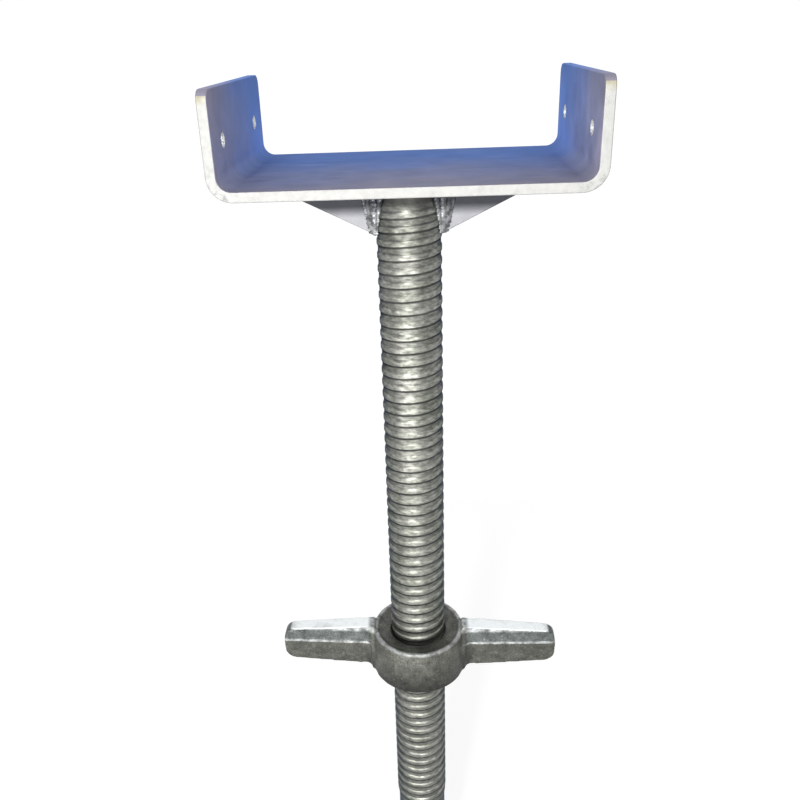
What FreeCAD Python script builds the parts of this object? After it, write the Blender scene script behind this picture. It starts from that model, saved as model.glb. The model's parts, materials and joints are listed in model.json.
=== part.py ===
import FreeCAD, Part
import math
import os

# U-head jack: a folded saddle on a threaded rod that carries a cast wing nut.
# Millimetres, +Z up, origin at the centre of the rod's lower end.

# Saddle plate
saddle_inner_width = 184.0
saddle_depth = 132.0
saddle_height = 53.0
plate_thickness = 5.5
bend_inner_radius = 7.0
leg_corner_radius = 6.0

# Bolt holes in the saddle's legs
leg_hole_diameter = 8.0
leg_hole_spacing = 84.0
leg_hole_above_underside = 27.5

# Rod with its rolled thread
rod_length = 600.0
rod_neck_length = 12.0
rod_blank_diameter = 36.0
thread_turns = 58
thread_pitch = 8.0
thread_crest_diameter = 38.0
thread_root_diameter = 35.6
thread_runout_length = 2.0
tail_chamfer = 3.0
arcs_per_turn = 3

# Gussets
gusset_thickness = 6.0
gusset_drop = 32.0
gusset_reach = 78.0
gusset_nose = 3.0
gusset_root_gap = 0.3

# Weld runs
rod_weld_leg = 6.0
plate_run_leg = 4.5
rod_run_leg_at_top = 7.5
rod_run_leg_at_bottom = 3.0
rod_run_wrap = 5.0
rod_run_spread_angle = 41.5
weld_clearance = 0.05

# Collar of the wing nut
nut_top_below_saddle = 316.0
nut_height = 33.5
nut_bore_clearance = 0.4
nut_skirt_diameter = 67.0
nut_rim_diameter = 64.0
nut_parting_below_top = 10.0
nut_lip_width = 2.4
nut_lip_height = 1.0
nut_dish_depth = 1.5

# Wings of the nut
wing_span = 195.0
wing_turn = -0.6
wing_rise_at_root = 4.5
wing_drop_at_tip = 1.5
wing_root_depth = 38.0
wing_tip_depth = 26.0
wing_root_thickness = 19.5
wing_tip_thickness = 13.5
wing_parting_step = 1.3
wing_upper_draft = 8.0
wing_lower_draft = 7.0
wing_tip_radius = 8.0
wing_root_flare = 4.0

# Places that follow from the sizes
saddle_underside = rod_length
saddle_half_width = saddle_inner_width / 2 + plate_thickness
bend_outer_radius = bend_inner_radius + plate_thickness
crest_radius = thread_crest_diameter / 2
root_radius = thread_root_diameter / 2
blank_radius = rod_blank_diameter / 2
thread_top = rod_length - rod_neck_length
thread_bottom = thread_top - (thread_turns + 1) * thread_pitch
nut_top = saddle_underside - nut_top_below_saddle
nut_bottom = nut_top - nut_height
nut_parting = nut_top - nut_parting_below_top
nut_bore_radius = crest_radius + nut_bore_clearance

origin = FreeCAD.Vector(0, 0, 0)
along_x = FreeCAD.Vector(1, 0, 0)
along_y = FreeCAD.Vector(0, 1, 0)
along_z = FreeCAD.Vector(0, 0, 1)


def point(x, y, z):
    return FreeCAD.Vector(x, y, z)


def line(start, end):
    return Part.LineSegment(start, end).toShape()


def outline_of(points):
    """Closed outline with straight sides."""
    return Part.makePolygon(points + points[:1])


def face_of(points):
    """Flat face with straight sides."""
    return Part.Face(outline_of(points))


def wedge_of(start, end):
    """Solid between two outlines with as many corners, where each side is flat."""
    faces = [face_of(start), face_of(end)]
    for index in range(len(start)):
        before = index - 1
        faces.append(face_of([start[before], start[index], end[index], end[before]]))
    wedge = Part.Solid(Part.Shell(faces))
    if wedge.Volume < 0:
        wedge.reverse()
    return wedge


def arc_xz(centre, radius, start_angle, end_angle):
    """Arc in the XZ plane, with its angles in degrees from +X towards +Z."""
    def on_arc(angle):
        turn = math.radians(angle)
        return centre + point(radius * math.cos(turn), 0, radius * math.sin(turn))

    middle_angle = (start_angle + end_angle) / 2
    return Part.Arc(on_arc(start_angle), on_arc(middle_angle), on_arc(end_angle)).toShape()


def turned(profile):
    """Faces swept by an open profile of (radius, height) pairs round the rod's axis."""
    path = Part.makePolygon([point(radius, 0, z) for radius, z in profile])
    return path.revolve(origin, along_z, 360).Faces


def make_saddle():
    """One plate folded up at both ends, with a pair of bolt holes in each leg."""
    top = saddle_underside + saddle_height
    floor = saddle_underside + plate_thickness
    inner_x = saddle_inner_width / 2
    bend_x = saddle_half_width - bend_outer_radius
    bend_z = saddle_underside + bend_outer_radius
    half_depth = saddle_depth / 2

    def front(x, z):
        return point(x, -half_depth, z)

    left_bend = front(-bend_x, bend_z)
    right_bend = front(bend_x, bend_z)
    outline = Part.Wire([
        line(front(-saddle_half_width, top), front(-saddle_half_width, bend_z)),
        arc_xz(left_bend, bend_outer_radius, 180, 270),
        line(front(-bend_x, saddle_underside), front(bend_x, saddle_underside)),
        arc_xz(right_bend, bend_outer_radius, 270, 360),
        line(front(saddle_half_width, bend_z), front(saddle_half_width, top)),
        line(front(saddle_half_width, top), front(inner_x, top)),
        line(front(inner_x, top), front(inner_x, bend_z)),
        arc_xz(right_bend, bend_inner_radius, 360, 270),
        line(front(bend_x, floor), front(-bend_x, floor)),
        arc_xz(left_bend, bend_inner_radius, 270, 180),
        line(front(-inner_x, bend_z), front(-inner_x, top)),
        line(front(-inner_x, top), front(-saddle_half_width, top)),
    ])
    plate = Part.Face(outline).extrude(along_y * saddle_depth)

    def is_leg_corner(edge):
        middle = edge.CenterOfMass
        at_top = math.isclose(middle.z, top)
        at_end = math.isclose(abs(middle.y), half_depth)
        return at_top and at_end

    leg_corners = [edge for edge in plate.Edges if is_leg_corner(edge)]
    plate = plate.makeFillet(leg_corner_radius, leg_corners)
    drill_reach = saddle_half_width + plate_thickness
    for hole_y in (-leg_hole_spacing / 2, leg_hole_spacing / 2):
        start = point(-drill_reach, hole_y, saddle_underside + leg_hole_above_underside)
        drill = Part.makeCylinder(leg_hole_diameter / 2, 2 * drill_reach, start, along_x)
        plate = plate.cut(drill)
    return plate


def helix_turn(thread_radius, turn, start_z, last_turn):
    """Arcs of one turn. The thread rises from the blank in the first turn and sinks in the last."""
    def on_helix(part_of_turn):
        depth_share = min(1.0, turn + part_of_turn, last_turn - turn - part_of_turn)
        radius = blank_radius + (thread_radius - blank_radius) * depth_share
        angle = 2 * math.pi * part_of_turn
        z = start_z + thread_pitch * part_of_turn
        return point(radius * math.cos(angle), radius * math.sin(angle), z)

    arcs = []
    for index in range(arcs_per_turn):
        places = [(index + share) / arcs_per_turn for share in (0.0, 0.5, 1.0)]
        arcs.append(Part.Arc(*[on_helix(place) for place in places]).toShape())
    return arcs


def blank_ring(z):
    """Circle of the unrolled bar, in as many arcs as a turn of the thread."""
    step = 360 / arcs_per_turn
    starts = [index * step for index in range(arcs_per_turn)]
    return [Part.makeCircle(blank_radius, point(0, 0, z), along_z, start, start + step) for start in starts]


def make_rod():
    """Bar with a rolled right-hand thread that runs out into a plain neck and a plain tail."""
    roots = []
    for turn in range(thread_turns + 1):
        roots.append(helix_turn(root_radius, turn, thread_bottom + turn * thread_pitch, thread_turns + 1))
    crests = []
    for turn in range(thread_turns):
        crest_z = thread_bottom + (turn + 0.5) * thread_pitch
        crests.append(helix_turn(crest_radius, turn, crest_z, thread_turns))

    lower_ring_z = thread_bottom - thread_runout_length
    upper_ring_z = thread_top + thread_runout_length
    strips = [(blank_ring(lower_ring_z), roots[0]), (roots[-1], blank_ring(upper_ring_z))]
    for turn in range(thread_turns):
        strips.append((roots[turn], crests[turn]))
        strips.append((crests[turn], roots[turn + 1]))
    faces = []
    for lower, upper in strips:
        for lower_arc, upper_arc in zip(lower, upper):
            faces.append(Part.makeRuledSurface(lower_arc, upper_arc))

    last_root_z = thread_top - thread_pitch
    first_step = [
        (blank_radius, lower_ring_z),
        (blank_radius, thread_bottom),
        (blank_radius, thread_bottom + thread_pitch / 2),
        (root_radius, thread_bottom + thread_pitch),
    ]
    last_step = [
        (root_radius, last_root_z),
        (blank_radius, last_root_z + thread_pitch / 2),
        (blank_radius, thread_top),
        (blank_radius, upper_ring_z),
    ]
    for step in (first_step, last_step):
        faces.append(face_of([point(radius, 0, z) for radius, z in step]))
    faces += turned([
        (blank_radius, lower_ring_z),
        (blank_radius, tail_chamfer),
        (blank_radius - tail_chamfer, 0),
        (0, 0),
    ])
    faces += turned([(blank_radius, upper_ring_z), (blank_radius, rod_length), (0, rod_length)])
    skin = Part.makeCompound(faces)
    skin.sewShape()
    bar = Part.Solid(skin.Shells[0])
    if bar.Volume < 0:
        bar.reverse()
    return bar


def make_gusset(side):
    """Triangular plate between the rod and the saddle's underside, on the side -1 or +1."""
    inner_x = crest_radius + gusset_root_gap
    half = gusset_thickness / 2
    outline = [
        (inner_x, saddle_underside),
        (gusset_reach, saddle_underside),
        (gusset_reach, saddle_underside - gusset_nose),
        (inner_x, saddle_underside - gusset_drop),
    ]
    face = face_of([point(side * x, -half, z) for x, z in outline])
    return face.extrude(along_y * gusset_thickness)


def make_rod_weld(gussets):
    """Fillet run round the rod's neck, against the saddle."""
    section = face_of([
        point(blank_radius, 0, saddle_underside),
        point(blank_radius + rod_weld_leg, 0, saddle_underside),
        point(blank_radius, 0, saddle_underside - rod_weld_leg),
    ])
    run = section.revolve(origin, along_z, 360)
    return run.cut(Part.makeCompound(gussets))


def make_rod_run(side, face):
    """Fillet run up the rod on one face of a gusset, wider towards the saddle."""
    half = gusset_thickness / 2
    inner_x = crest_radius + gusset_root_gap

    def section(leg, z):
        foot_x = inner_x + leg
        toe_x = crest_radius - rod_run_wrap
        toe_y = half + (foot_x - toe_x) * math.tan(math.radians(rod_run_spread_angle))
        return [
            point(side * foot_x, face * half, z),
            point(side * toe_x, face * toe_y, z),
            point(side * toe_x, face * half, z),
        ]

    slope = (gusset_drop - gusset_nose) / (gusset_reach - inner_x)
    top_z = saddle_underside - rod_weld_leg
    bottom_z = saddle_underside - gusset_drop + slope * rod_run_leg_at_bottom
    bottom = section(rod_run_leg_at_bottom, bottom_z)
    top = section(rod_run_leg_at_top, top_z)
    return wedge_of(bottom, top).cut(Part.makeCylinder(crest_radius + weld_clearance, rod_length))


def make_plate_run(side, face):
    """Fillet run along the saddle on one face of a gusset."""
    half = gusset_thickness / 2
    inner_x = crest_radius + gusset_root_gap
    slope = (gusset_drop - gusset_nose) / (gusset_reach - inner_x)
    start_x = blank_radius + rod_weld_leg + plate_run_leg / 2
    end_x = inner_x + (gusset_drop - plate_run_leg) / slope
    section = face_of([
        point(side * start_x, face * half, saddle_underside),
        point(side * start_x, face * (half + plate_run_leg), saddle_underside),
        point(side * start_x, face * half, saddle_underside - plate_run_leg),
    ])
    return section.extrude(along_x * side * (end_x - start_x))


def make_gusset_welds():
    """Fillet runs on both faces of both gussets, up the rod and along the saddle."""
    runs = []
    for side in (-1, 1):
        for face in (-1, 1):
            runs.append(make_rod_run(side, face))
            runs.append(make_plate_run(side, face))
    return runs


def make_wing_half(far_z, draft, root_half, tip_half):
    """Drafted block from the parting plane to a height, for the wing's side outline to trim."""
    lean = abs(far_z - nut_parting) * math.tan(math.radians(draft))

    def section(x, half):
        return [
            point(x, -half, nut_parting),
            point(x, half, nut_parting),
            point(x, half - lean, far_z),
            point(x, lean - half, far_z),
        ]

    return wedge_of(section(0, root_half), section(wing_span / 2, tip_half))


def make_flare(far_z, draft, half, side):
    """Web with a hollow round face where one side of half a wing meets the collar."""
    radius = wing_root_flare
    inner_x = nut_rim_diameter / 2 - radius
    outer_x = nut_skirt_diameter / 2 + radius
    hollow = point(outer_x, side * (half + radius), nut_parting)
    on_wing = hollow - point(0, side * radius, 0)
    on_collar = hollow - point(radius, 0, 0)
    between = hollow - point(radius, side * radius, 0) * math.sqrt(0.5)
    corners = [
        on_collar,
        point(inner_x, side * (half + radius), nut_parting),
        point(inner_x, 0, nut_parting),
        point(outer_x, 0, nut_parting),
        on_wing,
    ]
    outline = Part.Wire([Part.makePolygon(corners), Part.Arc(on_wing, between, on_collar).toShape()])
    lean = abs(far_z - nut_parting) * math.tan(math.radians(draft))
    return Part.Face(outline).extrude(point(0, -side * lean, far_z - nut_parting))


def make_wing():
    """One wing of the nut, along +X: its side outline, trimmed to the drafted halves of its mould."""
    tip_x = wing_span / 2
    round_x = tip_x - wing_tip_radius
    root_top = nut_top + wing_rise_at_root
    tip_top = nut_top - wing_drop_at_tip
    root_bottom = root_top - wing_root_depth
    tip_bottom = tip_top - wing_tip_depth
    widest = wing_root_thickness

    def side(x, z):
        return point(x, -widest, z)

    outline = Part.Wire([
        line(side(0, root_top), side(round_x, tip_top)),
        arc_xz(side(round_x, tip_top - wing_tip_radius), wing_tip_radius, 90, 0),
        line(side(tip_x, tip_top - wing_tip_radius), side(tip_x, tip_bottom + wing_tip_radius)),
        arc_xz(side(round_x, tip_bottom + wing_tip_radius), wing_tip_radius, 0, -90),
        line(side(round_x, tip_bottom), side(0, root_bottom)),
        line(side(0, root_bottom), side(0, root_top)),
    ])
    blank = Part.Face(outline).extrude(along_y * 2 * widest)
    root_half = wing_root_thickness / 2
    tip_half = wing_tip_thickness / 2
    step = wing_parting_step
    upper = make_wing_half(root_top, wing_upper_draft, root_half - step, tip_half - step)
    lower = make_wing_half(root_bottom, wing_lower_draft, root_half, tip_half)
    flare_half = root_half + (tip_half - root_half) * (nut_skirt_diameter / 2 + wing_root_flare) / tip_x
    flares = []
    for side_of_wing in (-1, 1):
        flares.append(make_flare(root_top, wing_upper_draft, flare_half - step, side_of_wing))
        flares.append(make_flare(root_bottom, wing_lower_draft, flare_half, side_of_wing))
    return blank.common(upper.fuse([lower] + flares))


def make_wing_nut():
    """Cast nut: a collar with a dished mouth and two tapered wings, parted at one level."""
    skirt_radius = nut_skirt_diameter / 2
    rim_radius = nut_rim_diameter / 2
    lip_radius = rim_radius - nut_lip_width
    dish_z = nut_top - nut_lip_height
    mouth_z = dish_z - nut_dish_depth
    profile = [
        (0, nut_bottom),
        (skirt_radius, nut_bottom),
        (skirt_radius, nut_parting),
        (rim_radius, nut_top - nut_lip_height),
        (rim_radius - nut_lip_height, nut_top),
        (lip_radius, nut_top),
        (lip_radius - nut_lip_height, dish_z),
        (nut_bore_radius, mouth_z),
        (0, mouth_z),
    ]
    collar = face_of([point(radius, 0, z) for radius, z in profile]).revolve(origin, along_z, 360)
    wing = make_wing()
    other_wing = wing.copy()
    other_wing.rotate(origin, along_z, 180)
    above_mouth = Part.makeCylinder(lip_radius - nut_lip_height, nut_height, point(0, 0, mouth_z))
    above_lip = Part.makeCylinder(rim_radius - nut_lip_height, nut_height, point(0, 0, nut_top))
    wings = wing.fuse(other_wing).cut(above_mouth.fuse(above_lip))
    nut = collar.fuse(wings)
    nut = nut.cut(Part.makeCylinder(nut_bore_radius, 2 * nut_height, point(0, 0, nut_bottom - nut_height / 2)))
    nut = nut.removeSplitter()
    nut.rotate(origin, along_z, wing_turn)
    return nut


os.makedirs("parts", exist_ok=True)
left_gusset = make_gusset(-1)
right_gusset = make_gusset(1)
nodes = {
    "saddle_plate": make_saddle(),
    "threaded_rod": make_rod(),
    "gusset_left": left_gusset,
    "gusset_right": right_gusset,
    "weld_runs": Part.makeCompound([make_rod_weld([left_gusset, right_gusset])] + make_gusset_welds()),
    "wing_nut": make_wing_nut(),
}
for name, shape in nodes.items():
    shape.exportStep(f"parts/{name}.step")
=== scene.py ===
"""Looks of a U-head jack: a folded saddle on a threaded rod that carries a cast wing nut."""

import json
import math
import random

import bmesh
import bpy
from bpy.props import FloatProperty, FloatVectorProperty, IntProperty, PointerProperty
from mathutils import Matrix, Vector, noise


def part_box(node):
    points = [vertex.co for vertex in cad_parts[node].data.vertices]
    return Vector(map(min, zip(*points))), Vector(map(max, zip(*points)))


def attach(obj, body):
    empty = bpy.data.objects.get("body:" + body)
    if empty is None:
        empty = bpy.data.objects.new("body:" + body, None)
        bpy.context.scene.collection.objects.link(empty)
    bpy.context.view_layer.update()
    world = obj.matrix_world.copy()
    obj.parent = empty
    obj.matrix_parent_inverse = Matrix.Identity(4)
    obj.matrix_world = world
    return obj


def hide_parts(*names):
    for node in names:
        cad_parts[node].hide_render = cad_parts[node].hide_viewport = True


bl_info = {
    "name": "U-head jack",
    "version": (1, 0, 0),
    "blender": (4, 5, 0),
    "location": "3D View > Sidebar > Jack",
    "description": "Models and finishes the pieces of a U-head jack around its packed frame",
    "category": "Object",
}

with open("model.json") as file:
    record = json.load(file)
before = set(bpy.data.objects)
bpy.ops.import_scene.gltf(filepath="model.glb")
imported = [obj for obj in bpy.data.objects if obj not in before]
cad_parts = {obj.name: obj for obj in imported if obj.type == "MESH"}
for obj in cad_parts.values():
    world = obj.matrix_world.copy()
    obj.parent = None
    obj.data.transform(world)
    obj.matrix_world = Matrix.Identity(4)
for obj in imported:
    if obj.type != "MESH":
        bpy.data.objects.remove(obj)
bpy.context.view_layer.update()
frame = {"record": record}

MM = 0.001
PHOTO_WIDTH = 800
FULL_TURN = 2 * math.pi

# Points closer than this are one, on a clean skin and along the thread's seams
SKIN_GAP = 0.002 * MM
SEAM_GAP = 0.02 * MM

# Where most values of a noise lie
MOST = (0.3, 0.7)

# The lamps' names, places, widths, heights and tints, in metres, and the point that they face
LAMPS = (
    ("key", (-0.45, -2.25, 1.25), 0.16, 0.16, (1.0, 0.99, 0.96)),
    ("top", (0.0, -0.8, 1.95), 0.7, 0.7, (0.97, 0.98, 1.0)),
    ("low", (-0.2, -0.98, 0.06), 1.4, 0.2, (1.0, 0.99, 0.97)),
    ("rear", (0.0, 1.3, 2.1), 0.9, 0.9, (1.0, 1.0, 1.0)),
)
LAMP_TARGET = (0.0, 0.0, 0.5)

# How far down the painted shadow under the saddle reaches on each finish, and how much it covers
SADDLE_SHADOW = {"gusset": (22 * MM, 0.9), "rod": (17 * MM, 0.9), "weld": (19 * MM, 0.88)}

saddle_low, saddle_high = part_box("saddle_plate")
rod_low, rod_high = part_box("threaded_rod")
mounts = {mount["name"]: mount for mount in frame["record"]["mounts"]}
leg_bolts = mounts["leg_bolts_left"]
tail_pin = mounts["rod_tail"]
blank_radius = tail_pin["dims"]["r_mm"] * MM
tail_length = tail_pin["dims"]["length_mm"] * MM
tail_bottom = tail_pin["pos_m"][2] - tail_length / 2


def length(name, description, default):
    """A size in metres that a user may change."""
    return FloatProperty(name=name, description=description, default=default, unit="LENGTH", precision=5)


def angle(name, description, default):
    """An angle in radians that a user may change."""
    return FloatProperty(name=name, description=description, default=default, subtype="ANGLE")


def power(name, description, default):
    """A lamp's power in watts that a user may change."""
    return FloatProperty(name=name, description=description, default=default, unit="POWER")


def share(name, description, default):
    """A strength that a user may change."""
    return FloatProperty(name=name, description=description, default=default, min=0.0, subtype="FACTOR")


def colour(name, description, default):
    """A plain colour that a user may change."""
    return FloatVectorProperty(
        name=name, description=description, default=default, subtype="COLOR", min=0.0, max=1.0
    )


class SaddleSettings(bpy.types.PropertyGroup):
    """Sizes and colours of the folded plate and its gussets"""

    thickness: length("Thickness", "Thickness of the folded plate", 5.5 * MM)
    bend_radius: length("Bend radius", "Inside radius of the two bends", 7 * MM)
    leg_corner_radius: length("Leg corner radius", "Radius of the top corners of the legs", 6 * MM)
    edge_round: length("Edge round", "Rounding of the cut edges", 0.7 * MM)
    gusset_nose: length("Gusset nose", "Height of a gusset's blunt outer end", 3 * MM)
    # Painted reflection: the plate's blue-violet tones stand for blue surroundings mirrored in the zinc
    front_reflected_tone: colour("Front colour", "Plate colour along the front edge", (0.215, 0.203, 0.246))
    back_reflected_blue: colour("Back colour", "Plate colour towards the back edge", (0.1, 0.16, 0.35))
    line_colour: colour("Line colour", "Pale rolling lines on the plate", (0.32, 0.32, 0.36))
    edge_colour: colour("Edge colour", "Bright zinc on the cut edges", (0.47, 0.47, 0.463))
    mark_colour: colour("Mark colour", "Grey marks on the cut edges", (0.3, 0.31, 0.31))
    stain_colour: colour("Stain colour", "Yellow-grey stain at the tops of the legs", (0.42, 0.38, 0.25))
    # Painted light: the holes' walls are near-white to stand for light seen through the holes
    painted_light_hole_colour: colour("Hole colour", "Bare bright zinc in the drilled holes", (0.9, 0.91, 0.91))
    gusset_colour: colour("Gusset colour", "Pale zinc on the gussets", (0.38, 0.384, 0.405))
    gusset_shade: colour("Gusset shade", "Greyer clouds on the gussets", (0.28, 0.284, 0.305))
    # Painted shadow: a near-black colour laid in the corner under the saddle, where the saddle casts its
    # shadow
    painted_shadow_colour: colour("Soot colour", "Soot in the corner under the saddle", (0.03, 0.033, 0.042))


class RodSettings(bpy.types.PropertyGroup):
    """Sizes and colours of the threaded rod"""

    pitch: length("Pitch", "Rise of the thread in one turn", 8 * MM)
    root_radius: length("Root radius", "Radius at the bottom of the thread", 18.4 * MM)
    crest_land: length("Crest land", "Width of the thread's crest", 2.7 * MM)
    root_land: length("Root land", "Width of the thread's root", 3.2 * MM)
    corner_round: length("Corner round", "Rounding of the thread's corners", 0.4 * MM)
    thread_top: length("Thread top", "Height at which the thread runs out", 588 * MM)
    thread_bottom: length("Thread bottom", "Height at which the thread starts", 116 * MM)
    steps: IntProperty(name="Steps", description="Steps in one turn of the thread", default=56, min=12)
    crest_colour: colour("Crest colour", "Zinc on the crests", (0.282, 0.283, 0.26))
    crest_shade: colour("Crest shade", "Greener clouds on the crests", (0.215, 0.226, 0.195))
    # Painted shade: this near-black colour is laid in the thread's grooves, where shade falls
    groove_shade_colour: colour("Grime colour", "Grime in the corners of the thread", (0.05, 0.05, 0.048))


class WeldSettings(bpy.types.PropertyGroup):
    """Sizes and colours of the weld runs"""

    ring_bead: length("Ring bead", "Radius of the bead round the rod's neck", 3.4 * MM)
    gusset_bead: length("Gusset bead", "Radius of the beads along the saddle", 2.6 * MM)
    run_leg_top: length("Run leg at the top", "Width of the runs up the rod, at the saddle", 7.5 * MM)
    run_leg_bottom: length("Run leg at the bottom", "Width of the runs up the rod, at their feet", 3 * MM)
    spacing: length("Spacing", "Distance between the ripples of a bead", 2.4 * MM)
    grain: length("Grain", "Grid size that the ripples are merged on", 0.5 * MM)
    seed: IntProperty(name="Seed", description="Start of the ripples' uneven sizes", default=7)
    bead_colour: colour("Bead colour", "Zinc on the weld beads", (0.42, 0.43, 0.44))
    bead_shade: colour("Bead shade", "Dark hollows on the weld beads", (0.09, 0.095, 0.1))
    # Painted shadow: a near-black colour laid in the corner under the saddle, where the saddle casts its
    # shadow
    painted_shadow_colour: colour("Soot colour", "Soot in the corner under the saddle", (0.03, 0.033, 0.042))


class NutSettings(bpy.types.PropertyGroup):
    """Sizes and colours of the cast wing nut"""

    height: length("Height", "Height of the collar", 33.5 * MM)
    bore_radius: length("Bore radius", "Radius of the bore, clear of the thread", 19.4 * MM)
    skirt_radius: length("Skirt radius", "Radius of the collar's skirt", 33.5 * MM)
    rim_radius: length("Rim radius", "Radius of the collar's rim", 32 * MM)
    parting_below_top: length("Parting", "Depth of the mould's parting below the rim", 10 * MM)
    lip_width: length("Lip width", "Width of the lip round the mouth", 2.4 * MM)
    lip_height: length("Lip height", "Height of the lip", 1 * MM)
    dish_depth: length("Dish depth", "Depth of the dish inside the lip", 1.5 * MM)
    foot_chamfer: length("Foot chamfer", "Chamfer at the collar's foot", 1.2 * MM)
    wing_rise: length("Wing rise", "Height of the wings above the rim at the middle of the nut", 4.5 * MM)
    wing_drop: length("Wing drop", "Depth of the wing tips below the rim", 1.5 * MM)
    wing_span: length("Wing span", "Distance from tip to tip", 195 * MM)
    root_depth: length("Root depth", "Depth of a wing at the middle of the nut", 38 * MM)
    tip_depth: length("Tip depth", "Depth of a wing at its tip", 26 * MM)
    root_thickness: length("Root thickness", "Thickness of a wing at the middle of the nut", 19.5 * MM)
    tip_thickness: length("Tip thickness", "Thickness of a wing at its tip", 13.5 * MM)
    parting_step: length("Parting step", "Ledge where the two halves of the mould met", 1.3 * MM)
    tip_radius: length("Tip radius", "Rounding of the wing tips", 8 * MM)
    root_flare: length("Root flare", "Radius of the hollows where the wings meet the collar", 4 * MM)
    grain: length("Grain", "Grid size that the casting is skinned on", 0.6 * MM)
    lump_height: length("Lump height", "Height of the casting's broad lumps", 0.12 * MM)
    grit_height: length("Grit height", "Height of the casting's fine grit", 0.05 * MM)
    turn: angle("Turn", "Turn of the wings about the rod", math.radians(-0.6))
    upper_draft: angle("Upper draft", "Draft above the parting", math.radians(8))
    lower_draft: angle("Lower draft", "Draft below the parting", math.radians(7))
    cast_colour: colour("Cast colour", "Zinc on the casting", (0.13, 0.134, 0.126))
    cast_shade: colour("Cast shade", "Darker clouds on the casting", (0.088, 0.092, 0.087))
    collar_tint: colour("Collar tint", "Warm tint on the collar and under the ledges", (0.9, 0.9, 0.83))
    wing_tint: colour("Wing tint", "Cool tint on the upper halves of the wings", (0.88, 0.96, 1.0))
    pit_colour: colour("Pit colour", "Dark colour in the casting's pits", (0.04, 0.04, 0.038))
    speck_colour: colour("Speck colour", "Pale specks on the casting", (0.5, 0.5, 0.48))
    # Wear and painted highlight: bright zinc on the up-facing wing tops, ledges and rim, where light
    # catches them
    rubbed_and_highlight_colour: colour("Rubbed colour", "Bright zinc where the casting is rubbed", (0.72, 0.75, 0.76))


class StageSettings(bpy.types.PropertyGroup):
    """Camera, light and floor"""

    camera_place: FloatVectorProperty(
        name="Camera place",
        description="Where the camera stands",
        default=(9.476 * MM, -464.913 * MM, 674.884 * MM),
        subtype="XYZ",
        unit="LENGTH",
        precision=5,
    )
    yaw: angle("Yaw", "Turn of the view to the right", -0.0656)
    pitch: angle("Pitch", "Tilt of the view downwards", 0.4289)
    roll: angle("Roll", "Roll of the view", 0.0421)
    focal_pixels: FloatProperty(name="Focal length", description="Focal length in pixels", default=810.36)
    centre_pixels: FloatVectorProperty(
        name="Picture centre", description="Pixel on the camera's axis", size=2, default=(379.62, 400.91)
    )
    key_power: power("Key", "Power of the front light", 36.0)
    top_power: power("Top", "Power of the overhead light", 6.0)
    low_power: power("Low", "Power of the low front light", 10.5)
    rear_power: power("Rear", "Power of the high rear light", 3.5)
    fill_strength: share("Fill", "Brightness of the room", 0.22)
    floor_reach: length("Floor reach", "Half the width of the floor", 20.0)
    floor_colour: colour("Floor colour", "Colour of the pale floor", (0.45, 0.45, 0.45))
    shadow_colour: colour("Shadow colour", "What the seen floor takes from the lamps", (0.25, 0.25, 0.25))
    floor_glow: share("Floor glow", "Glow of the seen floor far from the object", 0.985)
    glow_dip: share("Glow dip", "How much less the floor glows under the object", 0.125)
    glow_growth: share("Glow growth", "How fast the dip closes with the squared distance", 1.25)


def settings(context):
    """The jack's settings on the open scene."""
    return context.scene.u_head_jack


def round_sharp_edges(bm, edges, width, segments, affect="EDGES"):
    """Rounds the given edges."""
    bmesh.ops.bevel(
        bm,
        geom=edges,
        offset=width,
        offset_type="OFFSET",
        affect=affect,
        segments=segments,
        profile=0.5,
        clamp_overlap=affect == "EDGES",
        material=-1,
    )


def round_corners(bm, verts, radius, segments):
    """Rounds the corners of an outline or an open sheet."""
    round_sharp_edges(bm, verts, radius, segments, "VERTICES")


def sharp_edges(bm, least_degrees):
    """Edges between two faces that meet at more than an angle."""
    least = math.radians(least_degrees)
    joined = [edge for edge in bm.edges if len(edge.link_faces) == 2]
    return [edge for edge in joined if edge.calc_face_angle() > least]


def everything(bm):
    """All vertices, edges and faces."""
    return bm.verts[:] + bm.edges[:] + bm.faces[:]


def new_verts(result):
    """The vertices among what an operator made."""
    return [item for item in result["geom"] if isinstance(item, bmesh.types.BMVert)]


def sweep(bm, edges, offset):
    """Extrudes edges by an offset."""
    verts = new_verts(bmesh.ops.extrude_edge_only(bm, edges=edges))
    bmesh.ops.translate(bm, verts=verts, vec=offset)


def open_path(bm, points):
    """A chain of edges through a few points."""
    verts = [bm.verts.new(place) for place in points]
    return verts, [bm.edges.new(pair) for pair in zip(verts, verts[1:])]


def closed_path(bm, points):
    """A ring of edges through a few points."""
    verts, edges = open_path(bm, points)
    edges.append(bm.edges.new((verts[-1], verts[0])))
    return verts, edges


def smooth(bm, verts, passes):
    """Evens out vertices, a few times over."""
    for _ in range(passes):
        bmesh.ops.smooth_vert(
            bm, verts=verts, factor=0.5, use_axis_x=True, use_axis_y=True, use_axis_z=True
        )


def tidy_skin(bm):
    """Merges doubles and turns every face outwards."""
    bmesh.ops.remove_doubles(bm, verts=bm.verts, dist=SKIN_GAP)
    bmesh.ops.recalc_face_normals(bm, faces=bm.faces)


def add_object(name, bm):
    """A new object at the origin that holds a bmesh."""
    mesh = bpy.data.meshes.new(name)
    bm.to_mesh(mesh)
    bm.free()
    holder = bpy.data.objects.new(name, mesh)
    bpy.context.scene.collection.objects.link(holder)
    return holder


def make_piece(name, bm, materials, body, nodes, smooth_degrees=40.0):
    """Turns a bmesh into a finished piece that rides on a body and stands for CAD nodes."""
    piece = add_object(name, bm)
    for material in materials:
        piece.data.materials.append(material)
    piece.data.shade_smooth()
    piece.data.set_sharp_from_angle(angle=math.radians(smooth_degrees))
    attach(piece, body)
    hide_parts(*nodes)
    return piece


def even_shading(piece):
    """Keeps large flats flat beside their rounded edges."""
    modifier = piece.modifiers.new("even_shading", "WEIGHTED_NORMAL")
    modifier.keep_sharp = True


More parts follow.
